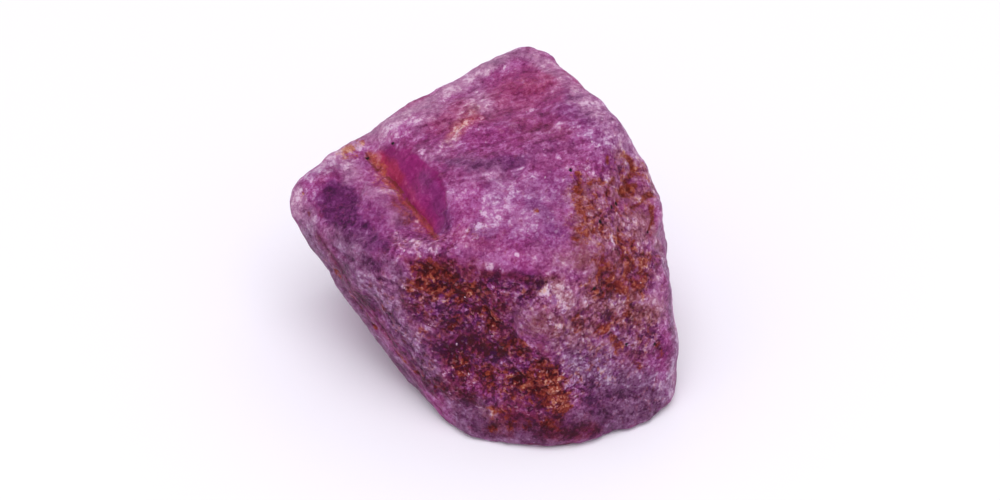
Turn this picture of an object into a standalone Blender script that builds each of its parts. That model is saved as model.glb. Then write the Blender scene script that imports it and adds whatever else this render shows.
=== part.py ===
"""A rough ruby: one natural piece of corundum with blunt, worn faces, lying on a flat underside.

The stone is a body of flat facets around an inner point. Each facet has a compass angle, a tilt and a
distance from that point, and its edges are worn round. A wedge taken out of the left shoulder leaves a
lower lobe with a steep step above it. Growth terraces, lumps, hollows and ledges then raise or lower the
surface by a few tenths of a millimetre.

Metres, +Z up. The side with the step and the dark front facet faces -Y.
"""

import math

import bmesh
import bpy
from mathutils import Matrix, Vector, noise

MM = 0.001

# Height of the inner point above the ground, in millimetres.
INNER_HEIGHT = 7.5

# Facets: compass angle of the outward side (0 front, 90 right), tilt above level, both in degrees, and
# distance from the inner point in millimetres.
FACETS = {
    "back of the top": (-80, 80, 7.55),
    "front of the top": (-10, 70, 7.3),
    "upper right": (60, 42, 9.9),
    "front right": (27, 16, 9.55),
    "front": (-14, 15, 7.9),
    "left shoulder": (-48, 43, 8.7),
    "left": (-46, -6, 9.0),
    "under the left": (-76, -36, 9.4),
    "left tip": (-98, 4, 14.4),
    "right": (92, 4, 11.3),
    "under the right": (48, -46, 15.6),
    "back left": (-146, 6, 9.7),
    "back right": (123, 16, 10.4),
    "under the back": (-173, -30, 8.8),
    "apex": (165, 40, 14.6),
    "underside": (180, -90, 7.6),
}

# Planes that bound the wedge missing from the left shoulder, given in the same way.
NOTCH = {
    "lobe": (-28, 80, 5.1),
    "step": (-61, 37, 6.95),
    "rise in front": (-150, 66, 3.75),
}

# How tightly the edges turn. A higher number gives a sharper edge.
FACET_SHARPNESS = 19
STEP_SHARPNESS = 40

# Raised (+) and sunken (-) spots: position from the inner point, radius and height, in millimetres.
SPOTS = {
    "hollow on the lobe": ((-10.0, -0.2, 4.0), 2.0, -0.5),
    "swelling on the lobe": ((-7.0, -0.8, 4.3), 1.7, 0.4),
    "hollow by the apex": ((0.5, 4.6, 7.7), 2.6, -0.25),
    "hollow in the front": ((-1.6, -7.9, 0.9), 2.8, -0.45),
    "ledge beside it": ((2.7, -8.5, 1.6), 2.7, 0.42),
    "foot of the ledge": ((3.4, -9.7, -3.0), 2.4, 0.12),
    "upper lump on the right": ((9.7, -1.2, 4.5), 1.9, 0.25),
    "middle lump on the right": ((10.9, -3.4, 0.8), 2.1, 0.15),
    "lower lump on the right": ((11.4, -5.2, -3.6), 2.4, 0.2),
    "ledge under the left": ((-8.6, -4.2, 1.0), 2.2, 0.3),
    "chip on the back": ((-2.0, 10.0, 1.0), 4.2, -0.9),
    "chip on the back edge": ((7.0, 8.5, 4.0), 2.8, -0.5),
    "lump low on the back": ((5.0, 9.0, -3.0), 3.0, 0.45),
}

# Growth terraces on the top: compass angle that they run back towards in degrees, then first edge, width
# and height in millimetres. The riser is the share of the width that climbs. Where the sine of the
# direction's rise from the inner point is under the first number they are absent, over the second full.
TERRACE_ANGLE = -164
TERRACE_START = -0.9
TERRACE_WIDTH = 2.7
TERRACE_HEIGHT = 0.24
TERRACE_RISER = 0.3
TERRACE_FADE = (0.45, 0.75)

# Lumps all over: size and height of the broad ones and of the small ones, in millimetres.
LUMPS = ((3.4, 0.24), (1.7, 0.12))

# The grid of the surface: cells along each side of the starting cube, and its turn in degrees, which lays
# its lines along the step and the terraces.
GRID_CELLS = 30
GRID_TURN = 22

# Height above the ground below which the terraces, spots and lumps fade out, so that the underside is
# flat with a smooth worn rim.
CALM_HEIGHT = 1.6

# Edges of the rim shorter than this are closed up.
RIM_SHORT_EDGE = 0.08

# Stands for a plane that a direction never meets, in millimetres.
FAR = 60.0

NAME = "rough_ruby"
PURPLE_PINK = (0.34, 0.11, 0.27, 1)
FROSTED = 0.5


def outward(compass, tilt):
    """Unit vector of a facet's outward side."""
    compass, tilt = math.radians(compass), math.radians(tilt)
    level = math.cos(tilt)
    return Vector((math.sin(compass) * level, -math.cos(compass) * level, math.sin(tilt)))


BODY_PLANES = [(outward(compass, tilt), distance) for compass, tilt, distance in FACETS.values()]
NOTCH_PLANES = [(outward(compass, tilt), distance) for compass, tilt, distance in NOTCH.values()]


def reach(direction, plane):
    """How far one plane lies along a direction from the inner point."""
    normal, distance = plane
    along = direction.dot(normal)
    return distance / along if along > distance / FAR else FAR


def nearest(distances, sharpness):
    """The smallest of several distances, rounded off where two of them are alike."""
    return sum(distance**-sharpness for distance in distances) ** (-1 / sharpness)


def farthest(distances, sharpness):
    """The largest of several distances, rounded off where two of them are alike."""
    return sum(distance**sharpness for distance in distances) ** (1 / sharpness)


def facet_radius(direction):
    """Distance from the inner point to the worn facets, with the wedge taken out."""
    body = nearest([reach(direction, plane) for plane in BODY_PLANES], FACET_SHARPNESS)
    notch = farthest([reach(direction, plane) for plane in NOTCH_PLANES], STEP_SHARPNESS)
    return nearest([body, notch], STEP_SHARPNESS)


def spot_height(point):
    """Sum of the raised and sunken spots at a point."""
    total = 0.0
    for centre, radius, height in SPOTS.values():
        away = (point - Vector(centre)).length / radius
        if away < 1:
            total += height * (1 - away**2) ** 2
    return total


def terrace_height(point, direction):
    """Terraces on the level part of the top: each climbs a short riser, then falls away gently."""
    across = (point.dot(outward(TERRACE_ANGLE, 0)) - TERRACE_START) / TERRACE_WIDTH
    if across < 0:
        return 0.0
    along = across - math.floor(across)
    rise = along / TERRACE_RISER if along < TERRACE_RISER else (1 - along) / (1 - TERRACE_RISER)
    low, high = TERRACE_FADE
    fade = min(1.0, max(0.0, (direction.z - low) / (high - low)))
    return TERRACE_HEIGHT * rise * fade


def lump_height(point):
    """Broad and small lumps of natural wear."""
    return sum(height * noise.noise(point / size) for size, height in LUMPS)


def surface_point(direction):
    """The stone's surface along one direction from the inner point, in millimetres above the ground."""
    smooth = direction * facet_radius(direction)
    raised = spot_height(smooth) + terrace_height(smooth, direction) + lump_height(smooth)
    calm = min(1.0, max(0.0, (smooth.z + INNER_HEIGHT) / CALM_HEIGHT))
    return smooth + direction * raised * calm + Vector((0, 0, INNER_HEIGHT))


def shape_stone(bm):
    """Turns a gridded cube into the stone's closed surface."""
    bmesh.ops.create_cube(bm, size=2)
    bmesh.ops.subdivide_edges(bm, edges=bm.edges[:], cuts=GRID_CELLS - 1, use_grid_fill=True)
    turn = Matrix.Rotation(math.radians(GRID_TURN), 3, "Z")
    for vert in bm.verts:
        evened = Vector([math.tan(value * math.pi / 4) for value in vert.co])
        vert.co = surface_point(turn @ evened.normalized())


def cut_underside(bm):
    """Cuts the stone level with the ground and closes the cut with one flat face."""
    everything = bm.verts[:] + bm.edges[:] + bm.faces[:]
    bmesh.ops.bisect_plane(bm, geom=everything, plane_co=(0, 0, 0), plane_no=(0, 0, 1), clear_inner=True)
    bmesh.ops.dissolve_degenerate(bm, edges=bm.edges[:], dist=RIM_SHORT_EDGE)
    for vert in bm.verts:
        if vert.is_boundary or vert.co.z < 0:
            vert.co.z = 0.0
    bmesh.ops.edgeloop_fill(bm, edges=[edge for edge in bm.edges if edge.is_boundary])


def centre_on_origin(bm):
    """Puts the middle of the stone's box over the origin, in metres."""
    xs = [vert.co.x for vert in bm.verts]
    ys = [vert.co.y for vert in bm.verts]
    middle = Vector(((min(xs) + max(xs)) / 2, (min(ys) + max(ys)) / 2, 0))
    for vert in bm.verts:
        vert.co = (vert.co - middle) * MM


def ruby_material():
    """Plain frosted purple-pink surface."""
    material = bpy.data.materials.new(NAME)
    material.use_nodes = True
    shader = material.node_tree.nodes["Principled BSDF"]
    shader.inputs["Base Color"].default_value = PURPLE_PINK
    shader.inputs["Roughness"].default_value = FROSTED
    shader.inputs["Metallic"].default_value = 0.0
    return material


def main():
    for obj in list(bpy.data.objects):
        bpy.data.objects.remove(obj, do_unlink=True)
    bm = bmesh.new()
    shape_stone(bm)
    cut_underside(bm)
    centre_on_origin(bm)
    bmesh.ops.triangulate(bm, faces=bm.faces[:])
    bmesh.ops.recalc_face_normals(bm, faces=bm.faces[:])
    mesh = bpy.data.meshes.new(NAME)
    bm.to_mesh(mesh)
    bm.free()
    mesh.materials.append(ruby_material())
    stone = bpy.data.objects.new(NAME, mesh)
    collection = bpy.data.collections.new(NAME)
    bpy.context.scene.collection.children.link(collection)
    collection.objects.link(stone)


main()
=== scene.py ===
# %% [markdown]
# # A rough ruby
# A raw ruby is a lump of corundum as it comes out of the ground: flat crystal faces worn blunt, some of them
# sugary and frosted, some glassy, with rust-brown stains where iron has seeped into the cracks.
# A plain solid of the stone comes with this lesson. The script keeps its size and its facets, adds the fine
# relief as real geometry, paints the colour zones as masks on the points, and lets one material read them.

# %% Load the plain stone
import math
import random

import bmesh
import bpy
import numpy as np
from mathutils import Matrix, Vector, noise
from mathutils.bvhtree import BVHTree


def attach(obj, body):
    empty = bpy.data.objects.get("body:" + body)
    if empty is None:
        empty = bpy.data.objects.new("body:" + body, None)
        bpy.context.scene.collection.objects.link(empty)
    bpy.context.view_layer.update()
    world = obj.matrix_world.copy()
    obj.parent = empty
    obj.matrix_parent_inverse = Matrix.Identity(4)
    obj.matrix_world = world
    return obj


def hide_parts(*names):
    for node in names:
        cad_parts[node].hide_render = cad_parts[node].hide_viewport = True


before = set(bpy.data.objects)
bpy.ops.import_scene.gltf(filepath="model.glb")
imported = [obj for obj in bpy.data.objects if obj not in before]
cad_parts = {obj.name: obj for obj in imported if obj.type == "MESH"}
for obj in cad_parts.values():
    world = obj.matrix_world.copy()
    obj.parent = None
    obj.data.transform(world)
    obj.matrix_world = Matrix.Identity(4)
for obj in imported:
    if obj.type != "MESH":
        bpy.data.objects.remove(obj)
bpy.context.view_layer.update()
plain_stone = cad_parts["rough_ruby"]
MM = 0.001

# %% [markdown]
# ## The camera
# The photograph looks steeply down at the stone with a long lens. Aiming from a target, an angle and a
# distance keeps the view easy to reason about: at this distance a pixel is 0.065 mm wide at the stone.
# The same numbers turn a pixel of the photograph into a ray, which is how marks find their place later.

# %% Camera at the photograph's angle
IMAGE_WIDE, IMAGE_HIGH = 1000, 500
LENS, SENSOR = 100.0, 36.0
PIXEL_MM = 0.065
CAMERA_TARGET = Vector((0.99, -0.67, 7.4)) * MM
CAMERA_RISE = math.radians(42)

camera_data = bpy.data.cameras.new("photo_camera")
camera_data.lens = LENS
camera_data.sensor_width = SENSOR
camera_data.clip_start = 0.01
camera = bpy.data.objects.new("photo_camera", camera_data)
bpy.context.scene.collection.objects.link(camera)
bpy.context.scene.camera = camera

pixels_per_slope = IMAGE_WIDE * LENS / SENSOR
camera_back = Vector((0, -math.cos(CAMERA_RISE), math.sin(CAMERA_RISE)))
camera_right = Vector((1, 0, 0))
camera_up = camera_back.cross(camera_right)
camera.location = CAMERA_TARGET + camera_back * PIXEL_MM * MM * pixels_per_slope
camera.rotation_euler = (math.pi / 2 - CAMERA_RISE, 0, 0)
print("camera distance, mm:", round((camera.location - CAMERA_TARGET).length / MM, 1))

# %% [markdown]
# ## Light and ground
# The stone lies on pure white under a wide, soft light that comes from above. A big area lamp gives the gentle
# shadow, and a white world fills the sides. The ground is a plain pale sheet, bright enough to burn out to
# white in the picture, as it does in the photograph.

# %% Soft studio light and a pale floor
LAMP_PLACE = Vector((0.02, -0.10, 0.40))
LAMP_SIZE = 0.30
LAMP_POWER = 0.78
WORLD_LIGHT = 0.77

scene = bpy.context.scene
scene.view_settings.view_transform = "Standard"
world = bpy.data.worlds.new("white_room")
scene.world = world
world.use_nodes = True
world.node_tree.nodes["Background"].inputs["Color"].default_value = (0.98, 0.985, 1.0, 1)
world.node_tree.nodes["Background"].inputs["Strength"].default_value = WORLD_LIGHT

lamp_data = bpy.data.lights.new("soft_lamp", "AREA")
lamp_data.size = LAMP_SIZE
lamp_data.energy = LAMP_POWER
lamp = bpy.data.objects.new("soft_lamp", lamp_data)
lamp.location = LAMP_PLACE
lamp.rotation_euler = (-LAMP_PLACE).to_track_quat("-Z", "Y").to_euler()
scene.collection.objects.link(lamp)

floor_mesh = bpy.data.meshes.new("floor")
floor_bm = bmesh.new()
bmesh.ops.create_grid(floor_bm, x_segments=1, y_segments=1, size=1.5)
floor_bm.to_mesh(floor_mesh)
floor_bm.free()
floor = bpy.data.objects.new("floor", floor_mesh)
scene.collection.objects.link(floor)

floor_material = bpy.data.materials.new("white_paper")
floor_material.use_nodes = True
floor_shader = floor_material.node_tree.nodes["Principled BSDF"]
floor_shader.inputs["Base Color"].default_value = (0.93, 0.895, 0.975, 1)
floor_shader.inputs["Roughness"].default_value = 0.9
floor_shader.inputs["Specular IOR Level"].default_value = 0.1
floor_mesh.materials.append(floor_material)

# %% [markdown]
# ## A finer skin for the stone
# The plain stone is a few thousand loose triangles. A copy is merged into one skin and each triangle is split
# into sixteen, which gives points about 0.2 mm apart, close enough for ledges and sugar-sized grains.
# Smoothing then takes the flat look off the big triangles without touching the shape.

# %% Merge, split and smooth
SPLIT_CUTS = 3
SMOOTH_ROUNDS = 4

skin = bmesh.new()
skin.from_mesh(plain_stone.data)
bmesh.ops.remove_doubles(skin, verts=skin.verts[:], dist=0.002 * MM)
bmesh.ops.subdivide_edges(skin, edges=skin.edges[:], cuts=SPLIT_CUTS, use_grid_fill=True)
bmesh.ops.triangulate(skin, faces=skin.faces[:])
for _ in range(SMOOTH_ROUNDS):
    above_ground = [vert for vert in skin.verts if vert.co.z > 0.01 * MM]
    bmesh.ops.smooth_vert(skin, verts=above_ground, factor=0.5, use_axis_x=True, use_axis_y=True, use_axis_z=True)
skin.verts.ensure_lookup_table()
skin.normal_update()
print("skin:", len(skin.verts), "points,", len(skin.faces), "triangles")

# %% [markdown]
# ## Finding a place on the stone
# Stains, ledges and hollows are placed where the photograph shows them. A ray from the camera through a pixel
# meets the skin at the right spot, so a mark still sits on the stone when it is seen from another side. The
# hidden sides have no pixels, so a compass angle and a rise around the stone's middle find a spot there.

# %% Rays to the surface
skin_tree = BVHTree.FromBMesh(skin)
STONE_MIDDLE = Vector((0.6, -0.7, 7.5)) * MM
RAY_START = 0.05


def at_pixel(x, y):
    """Point of the stone under a pixel of the photograph, in millimetres."""
    slope_right = (x - IMAGE_WIDE / 2) / pixels_per_slope
    slope_up = (IMAGE_HIGH / 2 - y) / pixels_per_slope
    ray = camera_right * slope_right + camera_up * slope_up - camera_back
    hit = skin_tree.ray_cast(camera.location, ray.normalized())[0]
    if hit is None:
        hit = skin_tree.find_nearest(camera.location + ray * (camera.location - CAMERA_TARGET).length)[0]
    return hit / MM


def at_compass(angle, rise):
    """Point of the stone at a compass angle (0 front, 90 right) and a rise above level, in millimetres."""
    angle, rise = math.radians(angle), math.radians(rise)
    outward = Vector((math.sin(angle) * math.cos(rise), -math.cos(angle) * math.cos(rise), math.sin(rise)))
    return skin_tree.ray_cast(STONE_MIDDLE + outward * RAY_START, -outward)[0] / MM


print("front of the top:", [round(value, 1) for value in at_pixel(505, 215)])

# %% [markdown]
# ## Masks painted in strokes
# A colour zone is painted as a few strokes. A stroke has a strength, a radius in pixels of the photograph and
# the places that it runs through, and every point of the skin takes the strongest stroke that reaches it.
# The points are first pushed about by a smooth noise, so that strokes get wandering, natural outlines.

# %% Stroke painting
WANDER_SEED = 1
WANDER_SIZE = 1.3
WANDER_REACH = 0.55
WANDER_SHARE = 0.6

points = np.array([vert.co for vert in skin.verts]) / MM
normals = np.array([vert.normal for vert in skin.verts])
# Without a fixed seed, noise_vector starts from the clock and each run would paint other outlines.
noise.seed_set(WANDER_SEED)
wander = np.array([noise.noise_vector(Vector(point) / WANDER_SIZE) for point in points])
wander += 0.5 * np.array([noise.noise_vector(Vector(point) / WANDER_SIZE * 3) for point in points])


def seen(*numbers):
    """Places from pairs of pixels of the photograph: x, y, x, y and so on."""
    return [np.array(at_pixel(x, y)) for x, y in zip(numbers[::2], numbers[1::2])]


def hidden(*numbers):
    """Places from pairs of a compass angle and a rise."""
    return [np.array(at_compass(angle, rise)) for angle, rise in zip(numbers[::2], numbers[1::2])]


def stroke_distance(places, reach):
    """Distance of every point from a line through some places, in millimetres."""
    wandered = points + wander * min(WANDER_REACH, reach * WANDER_SHARE)
    nearest = np.full(len(points), 1e3)
    for start, end in zip(places, places[1:] or places):
        line = end - start
        along = np.clip((wandered - start) @ line / max(line @ line, 1e-9), 0, 1)
        gap = np.linalg.norm(wandered - start - along[:, None] * line, axis=1)
        nearest = np.minimum(nearest, gap)
    return nearest


def soft_step(value):
    """0 below 0, 1 above 1, smooth between."""
    value = np.clip(value, 0, 1)
    return value * value * (3 - 2 * value)


def paint(strokes, softness=0.6):
    """A mask from strokes: each is a strength, a radius in pixels and its places."""
    mask = np.zeros(len(points))
    for strength, radius, places in strokes:
        reach = radius * PIXEL_MM
        edge = 1 + softness - stroke_distance(places, reach) / reach
        mask = np.maximum(mask, strength * soft_step(edge / (2 * softness)))
    return mask


# %% [markdown]
# ## Where the colours lie
# The inside of the stone shows through its skin in two dark tones: violet in the hollow of the left lobe and low
# on the right, wine red behind the front facet. Over them lies a pale sugary frost, and a greyer mauve veil on the
# lower left face. Pale frost and mauve strokes along the outline of the stone are painted sheen on the rims.

# %% Dark tones: violet and wine
violet = paint([
    (1.0, 10, seen(334, 190, 346, 188)),
    (1.0, 12, seen(328, 205, 344, 208)),
    (1.0, 10, seen(346, 214, 366, 236)),
    (1.0, 9, seen(334, 214, 352, 236)),
    (0.8, 9, seen(364, 236, 384, 248)),
    (1.0, 8, seen(362, 262, 376, 266)),
    (0.8, 3, seen(344, 256, 352, 261)),
    (0.6, 8, seen(440, 158, 485, 166)),
    (0.8, 7, seen(470, 167, 519, 161)),
    (0.5, 6, seen(486, 184, 506, 178, 518, 174)),
    (0.5, 9, seen(530, 152, 560, 144, 590, 138)),
    (0.5, 6, seen(564, 92, 572, 100)),
    (0.4, 7, seen(530, 116, 552, 112)),
    (0.5, 7, seen(445, 252, 430, 240, 400, 222)),
    (0.8, 12, seen(492, 276, 534, 282)),
    (0.6, 14, seen(440, 300, 452, 330)),
    (0.8, 16, seen(446, 345, 490, 352)),
    (1.1, 12, seen(594, 404, 646, 400)),
    (0.35, 16, seen(600, 384, 650, 384)),
    (0.5, 12, seen(590, 345, 600, 362)),
    (0.6, 12, seen(466, 392, 482, 416)),
    (0.5, 9, seen(466, 428, 488, 434, 515, 436)),
    (0.8, 10, seen(534, 204, 550, 216)),
    (0.5, 11, seen(515, 130, 548, 130)),
    (0.6, 9, seen(474, 228, 490, 236)),
    (0.5, 10, seen(552, 226, 566, 238)),
    (0.4, 8, seen(414, 128, 428, 136)),
    (0.5, 12, seen(392, 266, 404, 296)),
    (0.4, 12, seen(345, 236, 390, 262)),
    (0.5, 12, seen(340, 262, 390, 330, 435, 388)),
    (0.6, 8, seen(534, 432, 580, 429)),
    (0.9, 36, hidden(-150, 5, -125, 12)),
    (0.8, 30, hidden(160, -10, 140, 15)),
    (0.6, 30, hidden(105, 20, 95, -5)),
], softness=0.9)
violet = np.maximum(violet, paint([
    (0.9, 11, seen(334, 196, 343, 198)),
    (0.9, 9, seen(332, 212, 352, 216)),
    (1.2, 10, seen(350, 222, 368, 236)),
], softness=0.35))

wine = paint([
    (1.2, 16, seen(425, 272, 470, 284)),
    (0.55, 16, seen(426, 292, 450, 296)),
    (0.85, 16, seen(460, 300, 505, 304)),
    (0.6, 22, seen(440, 320, 500, 318)),
    (1.0, 20, seen(455, 350, 500, 345)),
    (0.9, 16, seen(455, 375, 490, 380)),
    (0.8, 14, seen(515, 370, 556, 372)),
    (0.8, 16, seen(520, 398, 558, 402)),
    (0.85, 13, seen(500, 418, 560, 420)),
    # A thin dark line along the foot: painted shade of the underside.
    (1.0, 2.4, seen(486, 441, 530, 444, 570, 442, 604, 434)),
    (0.4, 18, seen(560, 325, 600, 345)),
    (0.45, 14, seen(578, 185, 580, 225)),
    (0.4, 18, seen(600, 200, 645, 215, 645, 228)),
    (0.6, 18, seen(600, 258, 650, 264)),
    (0.8, 9, seen(578, 226, 582, 262)),
    (0.7, 14, seen(600, 290, 640, 292)),
    (0.6, 12, seen(610, 320, 645, 330)),
    (0.9, 11, seen(630, 306, 648, 314)),
    (0.55, 12, seen(512, 130, 548, 128)),
    (0.9, 10, seen(545, 430, 590, 430)),
    (0.9, 11, seen(552, 384, 566, 406)),
    (0.8, 11, seen(500, 408, 514, 412)),
    (0.65, 12, seen(538, 324, 544, 354)),
    (1.0, 11, seen(474, 270, 486, 276)),
    (1.1, 14, seen(476, 300, 502, 308)),
    (0.9, 9, seen(474, 284, 484, 292)),
    (0.8, 11, seen(516, 346, 524, 356)),
    (1.0, 11, seen(442, 386, 466, 394)),
    (0.5, 11, seen(402, 288, 420, 304)),
    (0.5, 11, seen(412, 322, 426, 338)),
    (0.6, 9, seen(594, 324, 610, 334)),
    (0.9, 9, seen(414, 286, 426, 296)),
    (0.4, 14, seen(600, 352, 645, 356)),
    (0.6, 9, seen(394, 206, 408, 220)),
    (0.8, 11, seen(452, 384, 468, 392)),
    (0.9, 11, seen(408, 304, 428, 316)),
    (1.2, 13, seen(462, 368, 488, 374)),
    (0.7, 9, seen(508, 286, 532, 292)),
    (0.5, 12, seen(630, 362, 655, 355)),
    (0.3, 6, seen(484, 114, 500, 118)),
    (0.5, 10, seen(590, 186, 608, 196)),
    (0.4, 9, seen(438, 182, 442, 198)),
    (0.4, 9, seen(436, 248, 448, 256)),
    (0.6, 8, seen(492, 430, 508, 434)),
    (0.5, 9, seen(498, 272, 510, 278)),
    (0.35, 10, seen(396, 268, 408, 278)),
    (0.4, 10, seen(556, 128, 572, 130)),
    (0.6, 8, seen(320, 240, 345, 278, 400, 352, 440, 400)),
    (0.6, 30, hidden(150, 25, 135, 5)),
    (0.6, 26, hidden(-135, -15, -150, -22)),
    (0.6, 26, hidden(100, -15, 85, -25)),
], softness=1.1)
wine = np.maximum(wine, paint([
    (0.75, 6, seen(458, 271, 476, 269, 492, 274, 512, 274, 526, 280)),
    (0.5, 4, seen(526, 290, 516, 304, 508, 320)),
    # A thin dark line along the foot: painted shade of the underside.
    (1.0, 3, seen(488, 442, 530, 445, 570, 443, 606, 434)),
], softness=0.7))
print("violet and wine cover", [round(float(mask.mean()), 2) for mask in (violet, wine)])

# %% Pale tones: frost and mauve
frost = paint([
    (0.55, 22, seen(475, 195, 552, 188)),
    (0.6, 24, seen(480, 225, 555, 218)),
    (0.3, 14, seen(468, 246, 545, 250)),
    (0.7, 9, seen(470, 190, 490, 186)),
    (0.1, 14, seen(372, 190, 396, 214)),
    (0.35, 6, seen(402, 241, 420, 243)),
    (0.4, 12, seen(474, 84, 484, 112)),
    (0.5, 12, seen(612, 142, 628, 158)),
    (0.5, 9, seen(345, 165, 360, 158)),
    # Along the upper left outline: painted sheen on the rim.
    (0.75, 11, seen(300, 186, 318, 172, 346, 154, 358, 150)),
    (0.6, 9, seen(314, 186, 318, 200)),
    (1.05, 11, seen(390, 132, 408, 124)),
    (0.6, 10, seen(472, 78, 488, 70)),
    (0.65, 9, seen(312, 240, 328, 258, 344, 254)),
    (0.45, 10, seen(572, 86, 586, 98)),
    (0.4, 8, seen(474, 130, 488, 132)),
    (0.35, 7, seen(396, 148, 408, 150)),
    (0.4, 9, seen(574, 166, 590, 172)),
    (0.5, 10, seen(440, 96, 470, 80)),
    (0.45, 13, seen(488, 72, 516, 66)),
    (0.9, 12, seen(484, 212, 506, 208)),
    (0.6, 12, seen(562, 366, 626, 370)),
    (0.65, 11, seen(594, 347, 608, 356)),
    (0.5, 12, seen(456, 408, 484, 414)),
    (0.6, 12, seen(612, 146, 626, 156)),
    (0.4, 12, seen(630, 388, 650, 394)),
    (0.4, 10, seen(632, 284, 648, 292)),
    (0.6, 10, seen(454, 224, 468, 234)),
    (0.7, 9, seen(654, 378, 668, 394)),
    (0.35, 8, seen(544, 294, 566, 302)),
    (0.5, 10, seen(550, 312, 566, 306)),
    (0.4, 22, seen(550, 325, 590, 340)),
    (0.4, 14, seen(600, 305, 650, 310)),
    (0.55, 16, seen(560, 364, 600, 362)),
    (0.3, 14, seen(570, 385, 590, 395)),
    (0.6, 10, seen(650, 360, 670, 385)),
    (0.25, 10, seen(596, 240, 618, 238)),
    (0.6, 7, seen(628, 220, 640, 224)),
    (0.25, 8, seen(438, 148, 452, 146)),
    (0.9, 1.8, seen(452, 180, 486, 174, 523, 167)),
    (0.6, 1.8, seen(443, 147, 490, 142, 530, 134)),
    (0.6, 2, seen(556, 120, 580, 143)),
    (0.5, 1.8, seen(487, 152, 560, 143)),
    (0.8, 8, seen(452, 138, 458, 130, 468, 118)),
    (0.35, 22, seen(596, 118, 622, 150)),
    (0.7, 13, seen(572, 126, 590, 136)),
    # Along the right outline: painted sheen on the rim.
    (0.8, 8, seen(666, 262, 673, 300, 677, 350, 670, 388)),
    (0.4, 7, seen(400, 322, 412, 326)),
    (0.25, 12, seen(405, 300, 420, 345)),
    (0.3, 12, seen(425, 378, 455, 395)),
    (0.4, 9, seen(447, 376, 452, 395)),
    (0.4, 9, seen(514, 405, 526, 412)),
    (0.5, 3, seen(450, 422, 500, 438, 530, 440, 560, 439)),
    (0.8, 34, hidden(180, 10, -165, 30)),
    (0.7, 30, hidden(120, 5, 110, -20)),
    (0.6, 28, hidden(-115, -20, -95, -10)),
], softness=0.9)

mauve = paint([
    # The first five strokes follow the outline: painted sheen on the rims.
    (1.0, 11, seen(300, 177, 350, 146, 400, 117, 450, 89, 500, 58)),
    (1.0, 14, seen(294, 186, 297, 205, 310, 232)),
    (0.8, 10, seen(312, 168, 340, 160, 352, 176)),
    (0.8, 9, seen(505, 53, 545, 54, 575, 88)),
    (0.7, 14, seen(575, 90, 604, 118, 625, 140)),
    (0.7, 13, seen(368, 190, 400, 220)),
    (0.6, 8, seen(396, 238, 412, 243, 438, 248)),
    (0.6, 12, seen(474, 84, 484, 112)),
    (0.6, 12, seen(440, 66, 420, 130)),
    # These two follow the right outline: painted sheen on the rim.
    (0.7, 9, seen(636, 152, 655, 200, 662, 240)),
    (0.8, 9, seen(664, 250, 672, 300, 678, 350, 670, 390)),
    (0.7, 20, seen(390, 290, 415, 335)),
    (0.5, 18, seen(350, 250, 380, 290)),
    (0.5, 16, seen(420, 345, 450, 390)),
    (0.6, 14, seen(545, 295, 570, 310)),
    (0.3, 12, seen(445, 400, 470, 420)),
    (0.5, 16, seen(570, 410, 650, 400)),
    (0.3, 16, seen(560, 360, 610, 372)),
    (0.7, 12, seen(330, 232, 345, 246)),
    (0.5, 12, seen(440, 295, 444, 318)),
    (0.5, 14, seen(420, 150, 500, 175)),
    (0.5, 14, seen(540, 250, 560, 270)),
    (0.6, 12, seen(656, 280, 664, 310)),
    (0.6, 30, hidden(-70, -25, -85, 0)),
    (0.6, 30, hidden(75, -15, 90, 10)),
    (0.6, 30, hidden(165, -20, -170, 0)),
], softness=0.9)
lilac = paint([
    (1.0, 24, seen(585, 105, 622, 150)),
    (0.7, 20, seen(500, 195, 560, 190)),
    (0.6, 22, seen(490, 225, 560, 225)),
    (0.7, 24, seen(330, 200, 372, 232)),
    (0.9, 10, seen(424, 176, 438, 196, 446, 226)),
    (0.6, 16, seen(450, 165, 520, 165)),
    (0.8, 20, seen(595, 380, 650, 392)),
    (1.0, 16, seen(600, 405, 655, 404)),
    (1.2, 12, seen(585, 434, 618, 424)),
    (0.6, 18, seen(560, 350, 610, 360)),
    (0.5, 18, seen(410, 320, 450, 390)),
    (0.7, 40, hidden(-150, 5, -125, 12)),
    (0.7, 40, hidden(120, 10, 110, -20)),
], softness=0.9)

rose = paint([
    (0.9, 26, seen(450, 118, 505, 100, 545, 82)),
    (0.5, 22, seen(520, 122, 566, 126)),
    (0.6, 14, seen(455, 235, 490, 240)),
    (0.5, 8, seen(297, 196, 299, 212)),
    (0.3, 11, seen(536, 206, 548, 216)),
    (0.6, 36, hidden(160, 50, 140, 35)),
    (0.5, 30, hidden(-125, 30, -145, 40)),
], softness=0.9)

# Plum: greyer and darker on the low faces, the foot and low all round. This is partly the stone's greyer skin and
# partly painted shade where less light from above falls.
plum = paint([
    (0.8, 24, seen(345, 250, 380, 300, 430, 380)),
    (1.0, 14, seen(308, 236, 350, 300, 400, 365, 445, 420)),
    (1.0, 16, seen(452, 398, 468, 424, 500, 434, 560, 436)),
    (0.9, 26, seen(580, 362, 655, 398)),
    (1.0, 14, seen(550, 428, 600, 420, 650, 408)),
    (1.2, 11, seen(470, 426, 492, 432)),
    (0.6, 10, seen(314, 172, 330, 168)),
    (0.9, 9, seen(668, 262, 676, 340, 670, 388)),
    (0.6, 22, seen(440, 320, 500, 345)),
    (0.7, 14, seen(392, 262, 408, 300)),
    (1.2, 13, seen(466, 404, 490, 414)),
    (0.6, 20, seen(520, 310, 590, 350)),
    (0.5, 20, seen(610, 310, 650, 350)),
    (0.9, 44, hidden(-70, -25, -85, 0)),
    (0.9, 44, hidden(75, -25, 100, -15)),
    (0.8, 44, hidden(165, -20, -170, 0)),
    (0.7, 40, hidden(-120, -20, -150, -10)),
], softness=0.9)

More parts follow.
